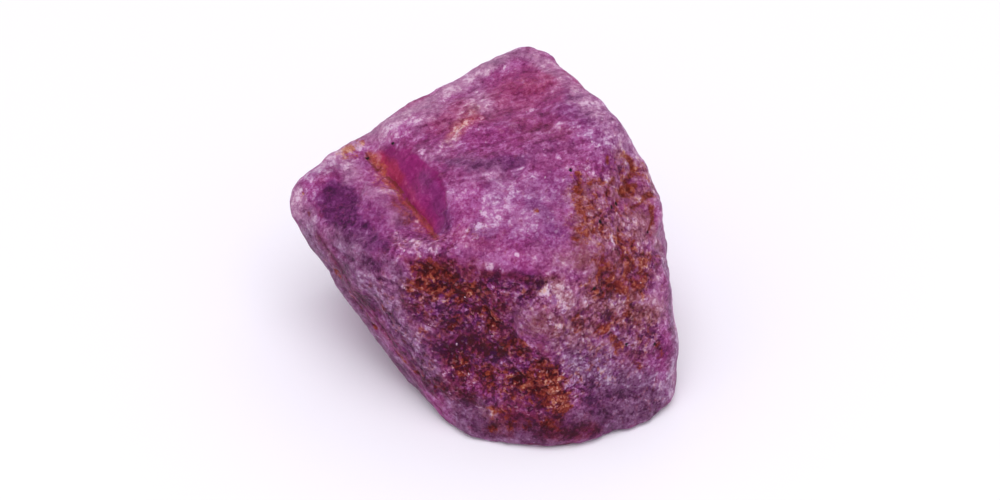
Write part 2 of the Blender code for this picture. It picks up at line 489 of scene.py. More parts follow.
sand = paint([
    (0.8, 9, seen(450, 140, 460, 124, 472, 108)),
    (1.0, 10, seen(544, 282, 566, 296)),
    (0.7, 14, seen(572, 262, 612, 246)),
    (0.7, 13, seen(622, 160, 650, 182)),
    (0.7, 10, seen(654, 226, 663, 250)),
    (0.9, 20, seen(585, 200, 590, 232, 640, 225)),
    (0.9, 20, seen(590, 300, 650, 310)),
    (0.7, 18, seen(590, 280, 640, 262)),
    (0.5, 16, seen(600, 335, 640, 350)),
    (0.75, 22, seen(540, 320, 590, 330)),
    (0.8, 16, seen(596, 182, 640, 196)),
    (0.5, 10, seen(480, 405, 500, 425)),
    (0.4, 12, seen(405, 290, 425, 300)),
    (0.6, 34, hidden(150, 20, 135, 0)),
    (0.5, 30, hidden(-135, -15, -150, -22)),
], softness=0.9)

grit = paint([
    (1.0, 34, seen(432, 300, 490, 320)),
    (1.0, 16, seen(424, 280, 470, 284, 540, 294)),
    (1.0, 36, seen(470, 360, 560, 385)),
    (0.8, 32, seen(600, 300, 645, 335)),
    (0.75, 30, seen(608, 220, 645, 265)),
    (0.75, 26, seen(560, 310, 600, 370)),
    (0.5, 22, seen(590, 180, 640, 190)),
    (0.6, 26, seen(375, 295, 430, 370)),
    (0.3, 20, seen(600, 395, 655, 395)),
    (0.6, 14, seen(400, 242, 445, 250)),
    (0.15, 20, seen(470, 235, 560, 240)),
    (0.8, 50, hidden(140, 10, 120, -20)),
    (0.6, 50, hidden(-140, 0, -100, -20)),
    (0.7, 40, hidden(180, -10, 180, 20)),
], softness=0.9)
smooth = paint([
    (1.0, 18, seen(374, 192, 392, 214)),
    (0.7, 22, seen(480, 190, 550, 195)),
    (0.8, 24, seen(480, 222, 552, 222)),
    (0.6, 16, seen(470, 250, 540, 252)),
    (0.9, 14, seen(320, 166, 360, 143, 400, 117, 450, 89, 500, 58)),
    (0.5, 16, seen(325, 200, 345, 200)),
    (0.6, 16, seen(505, 62, 540, 66)),
    (0.5, 30, seen(592, 190, 640, 222)),
    (0.4, 26, seen(600, 262, 650, 300)),
    (0.5, 24, seen(550, 318, 600, 345)),
    (0.7, 40, hidden(165, 50, 140, 35)),
    (0.6, 40, hidden(-120, 20, -160, 30)),
], softness=0.9)
print("grit covers", round(float(grit.mean()), 2))
print("frost and mauve cover", [round(float(mask.mean()), 2) for mask in (frost, mauve)])

# %% [markdown]
# ## Rust, and the glassy step
# Iron has stained the right side, the front and the foot, in hooks and streaks where it followed cracks. One
# face of the step is clear magenta glass, with an orange seam in the crack below it.

# %% Rust, glass, amber, dark specks, and pale chips with painted glints
rust = paint([
    (0.8, 6, seen(628, 158, 634, 168, 627, 180, 634, 188, 622, 194)),
    (0.6, 6, seen(650, 194, 640, 204, 633, 208)),
    (0.6, 5, seen(648, 205, 652, 218, 650, 230)),
    (0.8, 6, seen(591, 181, 600, 179)),
    (0.5, 6, seen(613, 181, 607, 198)),
    (0.8, 5, seen(578, 174, 581, 192)),
    (0.75, 10, seen(578, 198, 582, 232)),
    (0.7, 9, seen(592, 200, 602, 226)),
    (0.7, 9, seen(588, 225, 605, 232)),
    (0.6, 8, seen(612, 210, 628, 208)),
    (1.0, 9, seen(620, 236, 630, 270)),
    (0.6, 12, seen(600, 262, 618, 272)),
    (1.1, 6, seen(643, 262, 642, 284)),
    (1.0, 10, seen(602, 272, 628, 290)),
    (0.7, 9, seen(588, 286, 600, 292)),
    (0.9, 7, seen(630, 288, 642, 290)),
    (0.6, 10, seen(622, 166, 644, 174)),
    (1.0, 9, seen(556, 384, 565, 402)),
    (0.6, 8, seen(494, 408, 508, 412)),
    (0.8, 7, seen(613, 318, 604, 332)),
    (0.9, 6, seen(614, 340, 619, 348)),
    (0.9, 5, seen(577, 318, 577, 331)),
    (0.7, 7, seen(628, 310, 632, 318)),
    (0.6, 7, seen(638, 332, 645, 340)),
    (0.7, 4, seen(657, 340, 661, 356)),
    (0.6, 6, seen(632, 364, 640, 366)),
    (1.0, 11, seen(430, 269, 448, 280)),
    (0.8, 6, seen(408, 286, 420, 284)),
    (0.9, 12, seen(432, 286, 452, 294)),
    (0.8, 7, seen(470, 285, 480, 297)),
    (1.0, 8, seen(484, 310, 494, 322)),
    (0.7, 8, seen(456, 322, 448, 332)),
    (0.7, 5, seen(432, 340, 422, 332)),
    (0.8, 8, seen(458, 362, 466, 370)),
    (0.7, 5, seen(436, 388, 442, 386)),
    (0.6, 6, seen(490, 372, 488, 396)),
    (0.8, 8, seen(518, 342, 522, 352)),
    (0.7, 6, seen(500, 344, 505, 350)),
    (1.2, 13, seen(516, 382, 536, 386)),
    (1.1, 10, seen(540, 368, 552, 376)),
    (0.7, 8, seen(632, 246, 645, 256)),
    (1.0, 10, seen(534, 388, 548, 398)),
    (1.0, 9, seen(551, 398, 562, 410)),
    (0.8, 6, seen(545, 424, 556, 420)),
    (0.9, 4, seen(491, 428, 495, 427)),
    (0.9, 4, seen(510, 428, 513, 425)),
    (0.9, 4, seen(527, 428, 532, 425)),
    (0.8, 4, seen(326, 262, 340, 276)),
    (0.7, 4, seen(383, 306, 392, 320)),
    (0.7, 4, seen(396, 354, 413, 370, 430, 382)),
    (0.7, 3, seen(348, 290, 376, 328)),
    (0.8, 3, seen(303, 193, 303, 197)),
    (0.7, 3, seen(307, 214, 310, 220)),
    (0.6, 3, seen(534, 207, 536, 211)),
    (0.5, 6, seen(462, 226, 478, 232)),
    (0.4, 8, seen(455, 134, 464, 120)),
    (0.8, 12, hidden(158, 34, 146, 18, 134, 2, 122, -14)),
    (0.5, 34, hidden(150, 25, 130, 0)),
    (0.7, 11, hidden(-128, -8, -146, -18, -164, -22)),
    (0.45, 30, hidden(-135, -12, -152, -20)),
    (0.8, 9, hidden(-112, 26, -130, 24, -150, 30)),
    (0.7, 12, hidden(104, -2, 96, -14, 86, -26)),
    (0.5, 30, hidden(100, -12, 88, -24)),
], softness=1.1)

hooks = paint([
    (1.1, 3.2, seen(628, 157, 632, 161, 633, 169)),
    (0.7, 3.0, seen(631, 173, 627, 177, 626, 183)),
    (1.1, 3.4, seen(635, 186, 628, 187, 621, 193)),
    (1.2, 2.8, seen(650, 194, 644, 199)),
    (0.8, 2.4, seen(645, 198, 640, 204, 632, 208)),
    (1.2, 2.8, seen(650, 208, 652, 218, 651, 228)),
    (0.9, 2.4, seen(608, 157, 608, 162)),
    (0.8, 2.2, seen(615, 178, 611, 183, 608, 192, 607, 205)),
    (0.7, 2.0, seen(642, 254, 655, 256, 662, 256)),
    (0.6, 3.0, seen(600, 286, 608, 280, 618, 290)),
    (0.7, 3.0, seen(578, 176, 579, 192)),
    (0.6, 3.0, seen(620, 236, 621, 262)),
    (0.5, 3.0, seen(596, 262, 604, 276)),
    (0.6, 3.0, seen(416, 262, 424, 268, 436, 270)),
    (0.6, 3.0, seen(545, 398, 556, 408)),
], softness=0.9)

glass = paint([
    (1.0, 9, seen(388, 154, 404, 156)),
    (1.0, 11, seen(392, 162, 412, 180, 432, 206)),
    (1.0, 9, seen(408, 160, 432, 180, 443, 204)),
    (1.0, 9, seen(424, 198, 438, 226)),
    (1.0, 8, seen(398, 180, 414, 202, 432, 226)),
], softness=0.6)

blush = paint([
    (1.0, 8, seen(380, 156, 392, 168, 400, 180)),
    (0.6, 6, seen(400, 180, 416, 202, 432, 224)),
    (0.7, 12, seen(452, 134, 468, 120)),
    (0.25, 14, seen(515, 82, 550, 80)),
    (0.25, 12, seen(470, 238, 500, 246)),
], softness=0.9)

amber = paint([
    (0.7, 4.5, seen(370, 155, 376, 162, 384, 174, 392, 186, 404, 200, 416, 213, 428, 227, 437, 238)),
    (0.75, 7, seen(370, 155, 384, 170)),
    (0.45, 9, seen(376, 172, 396, 202, 422, 230)),
    (0.4, 8, seen(452, 134, 466, 122)),
    (0.3, 10, seen(520, 80, 545, 84)),
], softness=0.7)

seam = paint([
    (0.9, 1.6, seen(366, 153, 369, 162, 378, 169)),
    (1.0, 1.6, seen(386, 176, 393, 181, 402, 193)),
    (0.8, 1.8, seen(402, 193, 411, 205, 417, 213)),
    (0.6, 1.5, seen(417, 213, 426, 223, 437, 237)),
], softness=0.8)

SPECKS = (392, 143, 367, 157, 571, 169, 613, 206, 618, 203, 602, 221, 650, 231, 595, 289, 655, 345, 628, 345)
specks = paint([(1.0, 2.0, [place]) for place in seen(*SPECKS)], softness=0.5)

# Small pale spots. They are partly pale chips in the skin and partly painted glints where light catches the grains.
CHIPS_AND_GLINTS = {
    5: (489, 266, 545, 294, 557, 326, 421, 151, 613, 238, 423, 152),
    4: (502, 270, 413, 240, 530, 110, 558, 325, 545, 273, 484, 214, 478, 226, 499, 217),
    3: (465, 122, 458, 130, 470, 128, 463, 113, 480, 118, 560, 123, 560, 158, 417, 221, 517, 254, 627, 239, 402, 288, 598, 145, 635, 222, 470, 295,
        452, 370, 572, 365, 640, 377, 615, 400, 658, 398, 361, 151, 449, 393, 583, 341, 643, 267, 649, 184),
}
chips_and_glints = np.zeros(len(points))
for radius, places in CHIPS_AND_GLINTS.items():
    chips_and_glints = np.maximum(chips_and_glints, paint([(1.0, radius, [place]) for place in seen(*places)], softness=0.7))
print("rust, glass and amber cover", [round(float(mask.mean()), 3) for mask in (rust, glass, amber)])

# %% [markdown]
# ## Fine relief
# Frosted ruby is a crust of sugar-sized grains, so the frosted zones are raised and lowered grain by grain.
# The back of the top carries growth lines, the lower left edge is striped along its length, and the rust sits
# in small pits. All of it moves the points along their normals, because bumps that catch the light at the
# rim of the stone have to be real.

# %% Ledges and swellings
relief = (
    0.22 * paint([
        (1.5, 15, seen(374, 194, 390, 212)),
        (1.0, 10, seen(552, 292, 566, 296)),
        (0.8, 16, seen(540, 318, 556, 350)),
    ], softness=0.5)
    + 0.4 * paint([
        (0.7, 16, seen(338, 154, 356, 144)),
        (0.4, 12, seen(294, 186, 293, 206)),
        (0.5, 14, seen(340, 285, 360, 315, 385, 350, 405, 375)),
        (0.9, 18, seen(648, 178, 658, 206)),
    ], softness=0.8)
    + 0.5 * paint([
        (0.7, 12, seen(532, 53, 538, 56)),
        (0.5, 20, seen(660, 404, 650, 414)),
        (1.8, 20, seen(634, 423, 612, 431, 580, 441)),
        (1.7, 20, seen(478, 438, 490, 442, 506, 443)),
    ], softness=1.3)
    + 0.3 * paint([
        (1.0, 24, hidden(172, 4, -172, 14)),
        (0.9, 18, hidden(122, 18, 112, 0)),
        (0.8, 16, hidden(-100, -16, -116, -20)),
    ], softness=0.6)
    - 0.3 * paint([
        (1.0, 16, hidden(-142, 12, -124, -6)),
        (0.9, 14, hidden(144, -4, 128, -18)),
        (0.8, 12, hidden(96, 26, 82, 6)),
        (0.7, 10, hidden(-168, 24, 172, 22)),
    ], softness=0.5)
    - 0.4 * paint([
        (0.9, 22, seen(670, 250, 674, 276)),
        (0.4, 12, seen(384, 118, 425, 94)),
    ], softness=1.1)
    - 0.2 * paint([
        (1.0, 9, seen(362, 262, 376, 266)),
        (0.7, 3, seen(335, 251, 353, 263, 375, 276, 397, 288)),
        (0.8, 12, seen(328, 200, 344, 200)),
        (1.0, 5, seen(655, 249, 664, 249)),
        (0.8, 8, seen(348, 225, 370, 234)),
        (0.6, 4, seen(452, 181, 486, 174, 523, 167)),
        (0.5, 4, seen(490, 178, 512, 176)),
        (1.0, 5, seen(538, 286, 518, 304, 510, 340)),
        (0.5, 12, seen(600, 402, 646, 398)),
    ], softness=0.5)
)

# %% Raise the grains, lines and pits
GRAIN_SIZE = 0.5
GRAIN_HEIGHT = 0.1
LUMP_SIZE = 1.1
LUMP_HEIGHT = 0.12
LINE_HEIGHT = 0.06
PIT_DEPTH = 0.14
CRACK_DEPTH = 0.14
CALM_HEIGHT = 0.9

line_along = (seen(600, 140)[0] - seen(450, 185)[0])
line_along /= np.linalg.norm(line_along)
edge_along = (seen(455, 415)[0] - seen(305, 212)[0])
edge_along /= np.linalg.norm(edge_along)


def stretched(point, direction, stretch):
    """A point squeezed along a direction, so that a noise read there is drawn out into lines."""
    return point - direction * (point @ direction) * (1 - 1 / stretch)


def grain_noise(point, size):
    """Domed cells with narrow valleys between, from 0 in a valley to 1 on a dome."""
    near, far = noise.voronoi(Vector(point) / size)[0][:2]
    return min(1.0, (far - near) * 1.6)


def line_noise(direction, stretch, size):
    """Drawn-out noise for every point."""
    return np.array([noise.noise(Vector(stretched(point, direction, stretch)) / size) for point in points])


grains = np.array([grain_noise(point, GRAIN_SIZE) for point in points])
coarse = np.array([grain_noise(point + 7.0, GRAIN_SIZE * 2.4) for point in points])
lumps = np.array([noise.fractal(Vector(point) / LUMP_SIZE, 1.0, 2.0, 3) for point in points])
growth_lines = line_noise(line_along, 9, 0.42)
edge_lines = line_noise(edge_along, 8, 0.40)

bands = paint([
    (1.0, 30, seen(440, 130, 500, 100, 560, 110)),
    (1.0, 30, seen(450, 165, 520, 150, 590, 130)),
    (0.7, 20, seen(500, 70, 550, 85)),
], softness=0.4)
left_strip = paint([(1.0, 26, seen(312, 230, 352, 288, 400, 350, 445, 412))], softness=0.5)
crack = paint([(1.0, 3.5, seen(366, 154, 380, 170, 392, 180, 402, 193, 411, 205, 424, 221, 437, 238))], softness=0.9)
sugar = np.clip(0.15 + 0.85 * grit + 0.15 * frost - glass, 0, 1)

height = (
    relief
    + LUMP_HEIGHT * lumps * (0.28 + 0.8 * grit - 0.2 * glass)
    + GRAIN_HEIGHT * (grains - 0.5) * sugar
    + GRAIN_HEIGHT * 1.3 * (coarse - 0.5) * sugar
    + LINE_HEIGHT * growth_lines * bands
    + LINE_HEIGHT * edge_lines * left_strip
    - PIT_DEPTH * rust * soft_step((0.45 - coarse) / 0.4)
    - CRACK_DEPTH * crack
    - PIT_DEPTH * specks
    - 0.5 * PIT_DEPTH * hooks
)
calm = soft_step(points[:, 2] / CALM_HEIGHT)
sideways = normals * np.array([1, 1, 0])
moved = points + normals * (height * calm)[:, None] + sideways * (relief * (1 - calm))[:, None]
moved[:, 2] = np.maximum(moved[:, 2], 0)
for vert, place in zip(skin.verts, moved):
    vert.co = Vector(place) * MM
print("relief, mm:", round(float(height.min()), 2), "to", round(float(height.max()), 2))

# %% [markdown]
# ## Where the skin is worn, with painted light and shade
# Handling and river gravel scuff the high spots of a rough stone pale and leave the hollows clear and dark, and the
# same numbers paint light onto peaks and shade into hollows. A point stands high when it lies outside the average of
# its neighbours. Averaging over a few rings finds grains, averaging over many finds ridges and edges.

# %% High spots, fine and broad
FINE_RINGS, FINE_LIFT = 5, 0.035
BROAD_RINGS, BROAD_LIFT = 60, 0.16

ends = np.array([[vert.index for vert in edge.verts] for edge in skin.edges])
one_way = np.concatenate([ends[:, 0], ends[:, 1]])
other_way = np.concatenate([ends[:, 1], ends[:, 0]])
neighbour_count = np.bincount(one_way, minlength=len(points))[:, None]


def averaged(places, rings):
    """Places averaged with their neighbours, again and again."""
    for _ in range(rings):
        sums = [np.bincount(one_way, places[other_way, axis], len(places)) for axis in range(3)]
        places = (places + np.stack(sums, axis=1) / neighbour_count) / 2
    return places


def high_spots(rings, lift):
    """How far each point stands out of its surroundings, -1 in a pit to 1 on a peak."""
    stand = ((moved - averaged(moved, rings)) * normals).sum(axis=1)
    return np.clip((stand - np.median(stand)) / lift, -1, 1)


fine_wear_and_shade = high_spots(FINE_RINGS, FINE_LIFT)
broad_wear_and_shade = high_spots(BROAD_RINGS, BROAD_LIFT)
print("wear spread, fine and broad:", round(float(fine_wear_and_shade.std()), 2), round(float(broad_wear_and_shade.std()), 2))

# %% [markdown]
# ## The stone's mesh
# The skin becomes the piece that stands for the plain stone. The masks go with it as point attributes, one
# number a point, which the material can read by name and which stay on the mesh in any view.

# %% Make the piece and store the masks
stone_mesh = bpy.data.meshes.new("ruby_stone")
skin.to_mesh(stone_mesh)
skin.free()
stone_mesh.polygons.foreach_set("use_smooth", [True] * len(stone_mesh.polygons))
# The upward share of the normal is stored as a mask too. The material uses it as painted light from above.
masks = {"violet": violet, "wine": wine, "frost": frost, "mauve": mauve, "rust": rust, "glass": glass, "blush": blush,
         "amber": amber, "specks": specks, "bands": bands, "lilac": lilac, "rose": rose, "sand": sand, "grit": grit,
         "fine_wear_and_shade": fine_wear_and_shade, "broad_wear_and_shade": broad_wear_and_shade, "strip": left_strip, "plum": plum, "hooks": hooks,
         "seam": seam, "chips_and_glints": chips_and_glints, "smooth": smooth, "top_light": normals[:, 2]}
for name, mask in masks.items():
    stone_mesh.attributes.new(name, "FLOAT", "POINT").data.foreach_set("value", mask.astype(np.float32))
stone = bpy.data.objects.new("ruby_stone", stone_mesh)
scene.collection.objects.link(stone)
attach(stone, "root")
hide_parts("rough_ruby")
print("stone:", len(stone_mesh.polygons), "triangles")

# %% [markdown]
# ## The ruby material
# The masks say where a colour belongs, and noise in the material decides its ragged edge, its grains and its
# flecks. A small set of helpers keeps the node building readable. All patterns read object coordinates in
# millimetres, so a size in the material is a size on the stone.

# %% Helpers for building nodes
ruby = bpy.data.materials.new("frosted_ruby")
ruby.use_nodes = True
tree = ruby.node_tree
shader = tree.nodes["Principled BSDF"]


def node(kind, settings=None, **inputs):
    """A node with its settings and its inputs set or linked."""
    made = tree.nodes.new(kind)
    for name, value in (settings or {}).items():
        setattr(made, name, value)
    for name, value in inputs.items():
        socket = made.inputs[int(name[1:])] if name[0] == "i" and name[1:].isdigit() else made.inputs[name]
        if isinstance(value, bpy.types.NodeSocket):
            tree.links.new(value, socket)
        else:
            socket.default_value = value
    return made


def math_node(operation, first, second=0.0, clamp=False):
    """One arithmetic step."""
    return node("ShaderNodeMath", {"operation": operation, "use_clamp": clamp}, i0=first, i1=second).outputs[0]


def ramp(value, low, high):
    """0 at low, 1 at high, smooth between."""
    settings = {"interpolation_type": "SMOOTHSTEP"}
    made = node("ShaderNodeMapRange", settings, Value=value, **{"From Min": low, "From Max": high})
    return made.outputs["Result"]


def mix_colour(share, first, second, blend="MIX"):
    """Two colours mixed by a share."""
    settings = {"data_type": "RGBA", "blend_type": blend, "clamp_factor": True}
    return node("ShaderNodeMix", settings, i0=share, i6=first, i7=second).outputs[2]


def colour(red, green, blue):
    """A screen colour, 0 to 255, as the linear colour that nodes use."""
    linear = [((c / 255 + 0.055) / 1.055) ** 2.4 if c > 10 else c / 255 / 12.92 for c in (red, green, blue)]
    return (*linear, 1)


def painted(name):
    """A mask stored on the points."""
    return node("ShaderNodeAttribute", {"attribute_name": name}).outputs["Fac"]


# %% Patterns in millimetres
object_place = node("ShaderNodeTexCoord").outputs["Object"]
place = node("ShaderNodeMapping", Vector=object_place, Scale=(1000, 1000, 1000)).outputs["Vector"]


def cloud(scale, detail, roughness=0.6, vector=None):
    """Cloudy noise, about 0.5 in the middle."""
    inputs = {"Vector": vector or place, "Scale": scale, "Detail": detail, "Roughness": roughness}
    return node("ShaderNodeTexNoise", None, **inputs).outputs["Fac"]


def cells(scale, channel):
    """A random number for each cell of a grain pattern."""
    made = node("ShaderNodeTexVoronoi", Vector=place, Scale=scale)
    return node("ShaderNodeSeparateColor", Color=made.outputs["Color"]).outputs[channel]


def lines(direction, stretch, scale):
    """Cloudy noise drawn out along a direction in the stone."""
    turn = Vector(direction).rotation_difference(Vector((1, 0, 0))).to_euler()
    turned = node("ShaderNodeMapping", Vector=place, Rotation=turn).outputs["Vector"]
    squeezed = node("ShaderNodeMapping", Vector=turned, Scale=(1 / stretch, 1, 1)).outputs["Vector"]
    return cloud(scale, 4, 0.65, squeezed)


warp = node("ShaderNodeTexNoise", Vector=place, Scale=1.6, Detail=3.0).outputs["Color"]
warp = node("ShaderNodeVectorMath", {"operation": "MULTIPLY_ADD"}, i0=warp, i1=(0.9, 0.9, 0.9), i2=place).outputs[0]
turn = Vector(line_along).rotation_difference(Vector((1, 0, 0))).to_euler()
warp = node("ShaderNodeMapping", Vector=warp, Rotation=turn).outputs["Vector"]
warp = node("ShaderNodeMapping", Vector=warp, Scale=(0.6, 1, 1)).outputs["Vector"]
block = node("ShaderNodeTexVoronoi", {"distance": "CHEBYCHEV"}, Vector=warp, Scale=1.0)
block = node("ShaderNodeSeparateColor", Color=block.outputs["Color"]).outputs["Red"]
small_block = node("ShaderNodeTexVoronoi", {"distance": "CHEBYCHEV"}, Vector=warp, Scale=2.3)
small_block = node("ShaderNodeSeparateColor", Color=small_block.outputs["Color"]).outputs["Green"]
seam_gap = node("ShaderNodeTexVoronoi", {"feature": "DISTANCE_TO_EDGE"}, Vector=warp, Scale=0.85).outputs["Distance"]

smudge = cloud(0.35, 3, 0.5)
mottle = cloud(0.9, 7, 0.68)
blotch = cloud(2.0, 6, 0.72)
crumble = cloud(3.4, 6, 0.85)
flow = node("ShaderNodeMapping", Vector=place, Location=(31, 17, 5)).outputs["Vector"]
stain = cloud(1.7, 5, 0.7, flow)
pebble = cloud(1.9, 4, 0.6, flow)
flakes = cloud(2.9, 4, 0.65, flow)
drift = cloud(0.7, 4, 0.6, flow)
aside = node("ShaderNodeMapping", Vector=place, Location=(-9, 23, 41)).outputs["Vector"]
tint_cloud = cloud(2.3, 6, 0.75, aside)
grain_tint = cells(3.6, "Blue")
dust = cloud(6.0, 5, 0.75)
grain = cells(3.6, "Red")
fine_grain = cells(6.5, "Green")
growth = lines(line_along, 9, 2.2)
stripes = lines(edge_along, 8, 2.4)


def ragged(name, pattern, reach, low=0.3, high=0.8):
    """A painted mask whose edge follows a noise pattern."""
    shift = math_node("MULTIPLY", math_node("SUBTRACT", pattern, 0.5), reach)
    return ramp(math_node("ADD", painted(name), shift), low, high)


def over(share, colour_below, colour_above, limit=1.0):
    """One colour laid over another, as thick as its share."""
    return mix_colour(math_node("MULTIPLY", share, limit), colour_below, colour_above)


# %% [markdown]
# ## From dark to pale
# The stone is clear and dark inside and pale where its skin is frosted. One number, the tone, says how much
# frost lies over a place: painted masks set it and noise at four sizes breaks it up. The tone also carries painted
# light: paler on upward faces and high spots, darker on low faces and in hollows. Colour ramps turn the tone
# into a colour, one ramp for each hue of the stone, so that edges between zones stay soft and natural.

# %% Tone
def swing(pattern, reach):
    """A pattern about 0.5 turned into one about 0."""
    return math_node("MULTIPLY", math_node("SUBTRACT", pattern, 0.5), reach)


def added(*values):
    """The sum of several values."""
    total = values[0]
    for value in values[1:]:
        total = math_node("ADD", total, value)
    return total


def times(value, factor):
    """One value times another."""
    return math_node("MULTIPLY", value, factor)


frayed = times(added(blotch, crumble), 0.5)
grit_share = painted("grit")
violet_share = ragged("violet", frayed, 1.4, 0.15, 0.95)
wine_share = ragged("wine", frayed, 2.4, 0.15, 1.0)
mauve_share = ragged("mauve", frayed, 1.1, 0.1, 1.0)
frost_share = ragged("frost", frayed, 1.1, 0.1, 1.1)
glass_share = ramp(painted("glass"), 0.2, 0.9)
growth_share = times(ramp(growth, 0.44, 0.64), added(painted("bands"), 0.1))
stripe_share = times(ramp(stripes, 0.48, 0.64), painted("strip"))
mauve_grains = times(ramp(pebble, 0.52, 0.62), times(grit_share, added(0.8, times(wine_share, -0.6))))
pale_flakes = times(ramp(flakes, 0.6, 0.7), added(times(frost_share, 0.45), times(grit_share, 0.3), times(painted("smooth"), -0.3), 0.08))
# The plum share also darkens the tone: painted shade on the low faces.
plum_share = ragged("plum", frayed, 1.4, 0.1, 1.0)
# Pale chips and painted glints, as small bright spots in the tone.
chips_and_glints_share = times(ramp(added(painted("chips_and_glints"), swing(crumble, 3.2), swing(blotch, 1.5)), 0.4, 1.0), painted("chips_and_glints"))
healed_cracks = times(ramp(seam_gap, 0.05, 0.0), ramp(mottle, 0.42, 0.6))

soft = added(
    swing(smudge, 0.4), swing(mottle, 0.6), swing(blotch, 0.55),
    swing(block, 0.2), swing(small_block, 0.2), times(healed_cracks, 0.12),
)
# The two high-spot masks lighten peaks and darken hollows. This is partly wear and partly painted shade in the
# hollows.
gritty = added(
    times(painted("fine_wear_and_shade"), 0.10), times(painted("broad_wear_and_shade"), 0.08),
    swing(blotch, 0.8), swing(crumble, 0.95), swing(dust, 0.65), swing(grain, 0.44), swing(fine_grain, 0.5),
)
texture = added(soft, times(gritty, added(0.42, times(grit_share, 0.66))))
# Painted light in the tone: the upward share of the normal makes top faces paler, the plum share darkens the low
# faces, the small pale spots add glints, and the high-spot terms in gritty lighten peaks and shade hollows.
tone = added(
    0.475, times(painted("top_light"), 0.06), times(chips_and_glints_share, 0.4), times(plum_share, -0.06),
    times(frost_share, 0.33), times(mauve_share, 0.09), times(mauve_grains, 0.14), times(pale_flakes, 0.3),
    times(violet_share, -0.22), times(wine_share, -0.28), times(glass_share, -0.09), times(growth_share, -0.12), times(stripe_share, -0.14),
    times(texture, added(1.0, times(glass_share, -0.4), times(painted("smooth"), -0.32))),
)

# %% Hues
HUES = {
    "magenta": [(78, 14, 58), (116, 30, 88), (148, 54, 120), (178, 98, 162), (218, 176, 210)],
    "violet": [(62, 12, 58), (96, 26, 86), (126, 52, 116), (158, 98, 154), (206, 172, 208)],
    "plum": [(56, 20, 46), (88, 44, 78), (117, 75, 109), (143, 108, 142), (180, 152, 180)],
    "rust": [(60, 8, 12), (98, 24, 20), (134, 48, 32), (164, 84, 56), (200, 142, 118)],
    "hook": [(66, 10, 10), (92, 24, 16), (120, 40, 26), (150, 70, 50), (184, 124, 104)],
    "glass": [(94, 8, 66), (118, 16, 84), (142, 30, 104), (166, 64, 132), (208, 150, 190)],
    "blush": [(112, 20, 44), (146, 30, 58), (170, 46, 76), (190, 92, 114), (222, 168, 182)],
    "amber": [(96, 30, 24), (142, 54, 38), (178, 84, 54), (202, 128, 96), (230, 188, 162)],
    "wine": [(60, 4, 22), (94, 12, 36), (122, 34, 60), (146, 76, 106), (196, 148, 172)],
    "rose": [(84, 12, 44), (130, 34, 80), (160, 64, 112), (188, 106, 150), (220, 180, 206)],
    "sand": [(84, 36, 40), (122, 62, 68), (154, 96, 106), (184, 136, 150), (220, 194, 202)],
    "mauve": [(84, 34, 72), (120, 64, 106), (152, 96, 138), (184, 130, 166), (220, 186, 210)],
}


def hue(name):
    """The colour of a hue at the tone."""
    made = node("ShaderNodeValToRGB", None, Fac=tone)
    stops = made.color_ramp.elements
    for step, shade in enumerate(HUES[name]):
        place_on_ramp = step / (len(HUES[name]) - 1)
        stop = stops[step] if step < 1 else stops.new(place_on_ramp) if step < len(HUES[name]) - 1 else stops[-1]
        stop.color = colour(*shade)
    return made.outputs["Color"]


mix = hue("magenta")
mix = over(added(ragged("rose", frayed, 1.4, 0.1, 1.0), times(ramp(drift, 0.52, 0.68), 0.3)), mix, hue("rose"), 0.85)
lilac_share = added(ragged("lilac", frayed, 1.4, 0.1, 1.0), violet_share, times(ramp(drift, 0.48, 0.34), 0.3))
mix = over(lilac_share, mix, hue("violet"), 0.85)
mix = over(added(mauve_share, times(ramp(smudge, 0.4, 0.62), 0.25), mauve_grains), mix, hue("mauve"), 0.8)
mix = over(plum_share, mix, hue("plum"), 0.8)
mix = over(wine_share, mix, hue("wine"), 0.8)
mix = over(ragged("sand", frayed, 2.0, 0.15, 1.0), mix, hue("sand"), 0.75)

# %% Warm and cool grains
tint = added(0.5, swing(tint_cloud, 0.85), times(swing(grain_tint, 0.26), added(0.15, times(grit_share, 0.85))))
warm = ramp(tint, 0.53, 0.66)
cool = ramp(tint, 0.47, 0.36)
mix = over(times(warm, added(0.15, times(grit_share, 0.25))), mix, hue("sand"))
mix = over(times(warm, added(0.3, times(grit_share, -0.3))), mix, hue("rose"))
mix = over(times(warm, times(grit_share, 0.7)), mix, hue("rust"))
mix = over(times(cool, added(0.4, times(grit_share, 0.45))), mix, hue("violet"))

# %% Rust, glass, amber, dark specks and painted glints
SEAM_BROWN = colour(104, 34, 28)
SPECK = colour(34, 24, 28)
SPARK = colour(226, 200, 220)

wine_near = ramp(painted("wine"), 0.3, 1.0)
rust_near = ramp(added(painted("rust"), times(wine_near, 0.3)), 0.05, 0.3)
rust_spread = added(painted("rust"), times(wine_near, 0.14), swing(stain, 3.4), swing(crumble, 1.0), swing(grain, 0.3))
rust_share = times(ramp(rust_spread, 0.35, 0.95), rust_near)
mix = over(rust_share, mix, hue("rust"), 0.9)
mix = over(ragged("hooks", crumble, 2.0, 0.2, 0.9), mix, hue("hook"), 0.9)

mix = over(glass_share, mix, hue("glass"), 0.9)
mix = over(times(glass_share, ramp(painted("lilac"), 0.2, 0.9)), mix, hue("violet"), 0.5)
mix = over(ragged("blush", frayed, 1.0, 0.1, 1.1), mix, hue("blush"), 0.75)
mix = over(times(ragged("amber", crumble, 2.0, 0.2, 1.0), ramp(painted("amber"), 0.1, 0.4)), mix, hue("amber"), 0.85)
mix = over(ragged("seam", crumble, 3.4, 0.3, 0.9), mix, SEAM_BROWN, 0.75)
mix = over(ramp(painted("specks"), 0.3, 0.7), mix, SPECK)
